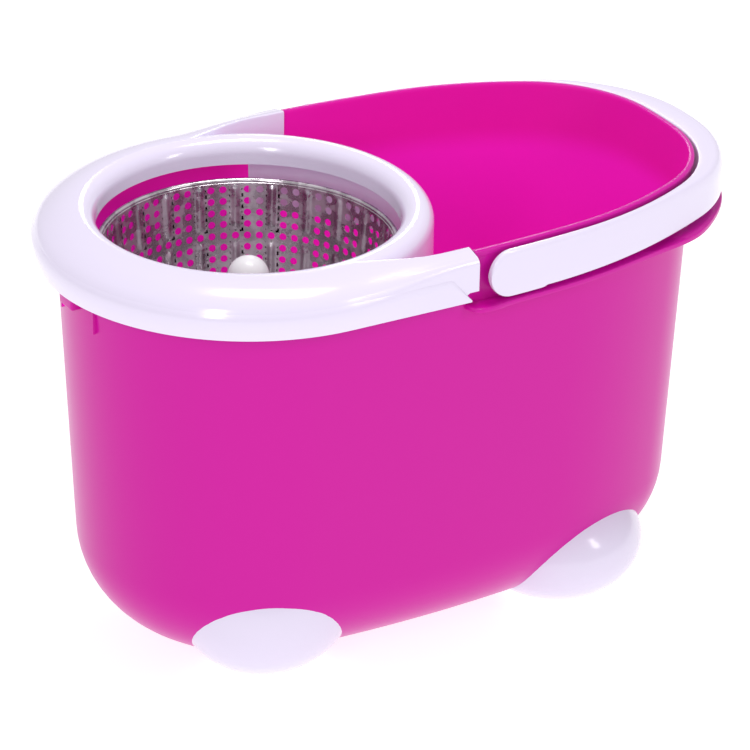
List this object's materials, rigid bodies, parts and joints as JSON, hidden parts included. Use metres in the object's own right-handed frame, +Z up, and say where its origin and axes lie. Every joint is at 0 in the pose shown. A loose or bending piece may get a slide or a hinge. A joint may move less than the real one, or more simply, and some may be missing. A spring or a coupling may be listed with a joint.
{
  "type": "spin mop",
  "caption": "Long rounded wash bucket with a splash collar over a spinning perforated wringer basket, a bail handle round the rear rim and dome feet.",
  "frame": {"origin": "middle of the footprint, on the surface the feet stand on", "axes": "+X runs along the bucket from the spinner to the wash bay, +Y to the left of that direction, +Z up"},
  "size_m": [0.5107, 0.2942, 0.324],
  "materials": {
    "tub": "glossy moulded polypropylene",
    "white_plastic": "glossy white moulded plastic",
    "basket_steel": "pressed stainless sheet, drawn and lightly polished",
    "plate_steel": "turned steel",
    "shaft_steel": "ground steel",
    "bearing_steel": "polished bearing steel",
    "screws": "zinc plated steel",
    "cage_plastic": "natural nylon",
    "rubber": "black nitrile rubber",
    "pedestal_plastic": "white moulded plastic"
  },
  "bodies": {
    "bucket": {"bucket_tub": "tub", "splash_collar": "white_plastic", "upper_bearing_outer_ring": "bearing_steel", "lower_bearing_outer_ring": "bearing_steel", "bearing_pedestal": "pedestal_plastic", "pedestal_gasket": "rubber", "pedestal_screws": "screws", "foot_front_left": "white_plastic", "foot_front_right": "white_plastic", "foot_rear_left": "white_plastic", "foot_rear_right": "white_plastic", "foot_screws": "screws"},
    "spinner": {"spin_basket": "basket_steel", "hub_post": "white_plastic", "clamp_plate": "plate_steel", "hub_screws": "screws", "spindle_shaft": "shaft_steel", "upper_bearing_inner_ring": "bearing_steel", "lower_bearing_inner_ring": "bearing_steel", "spacer_sleeve": "plate_steel", "retaining_clip": "shaft_steel", "water_slinger": "rubber"},
    "bearing_balls": {"upper_bearing_balls": "bearing_steel", "upper_bearing_cage": "cage_plastic", "lower_bearing_balls": "bearing_steel", "lower_bearing_cage": "cage_plastic"},
    "handle": {"bail_handle": "white_plastic"}
  },
  "joints": [
    {"name": "basket_spin", "type": "hinge", "parent": "bucket", "child": "spinner", "pos_m": [-0.1081, 0, 0.2], "axis": [0, 0, 1], "continuous": true},
    {"name": "ball_roll", "type": "hinge", "parent": "bucket", "child": "bearing_balls", "pos_m": [-0.1081, 0, 0.14], "axis": [0, 0, 1], "continuous": true},
    {"name": "handle_swing", "type": "hinge", "parent": "bucket", "child": "handle", "pos_m": [0.0164, 0, 0.303], "axis": [0, -1, 0], "range_deg": [0, 95]}
  ],
  "couplings": [
    {"joint": "ball_roll", "follows": "basket_spin", "ratio": 0.3767}
  ]
}
